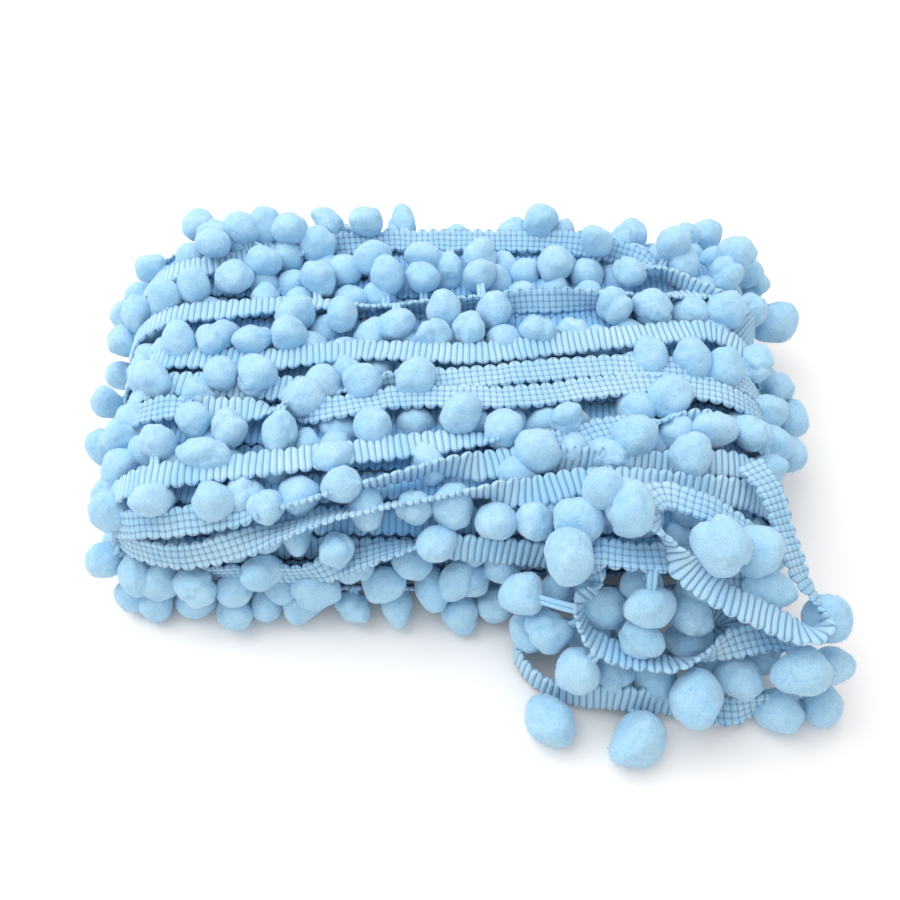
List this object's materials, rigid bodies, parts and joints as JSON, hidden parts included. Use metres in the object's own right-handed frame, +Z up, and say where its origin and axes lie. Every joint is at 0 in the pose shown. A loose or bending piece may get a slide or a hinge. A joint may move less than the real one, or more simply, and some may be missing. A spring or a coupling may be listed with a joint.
{
  "type": "pompom fringe trim",
  "caption": "Light blue pompom fringe trim wound as a flat hank, with its loose end heaped at one corner.",
  "frame": {"origin": "middle of the hank's flat underside, on the surface that the trim rests on", "axes": "+Z up; +X along the hank, the way its turns run, towards the end where the loose length lies; -Y towards the side of the loose length"},
  "size_m": [0.1806, 0.1421, 0.0486],
  "materials": {
    "heading_yarn": "matte",
    "pompom_yarn": "matte"
  },
  "bodies": {
    "root": {"hank": "pompom_yarn", "loose_end": "heading_yarn"}
  },
  "joints": []
}
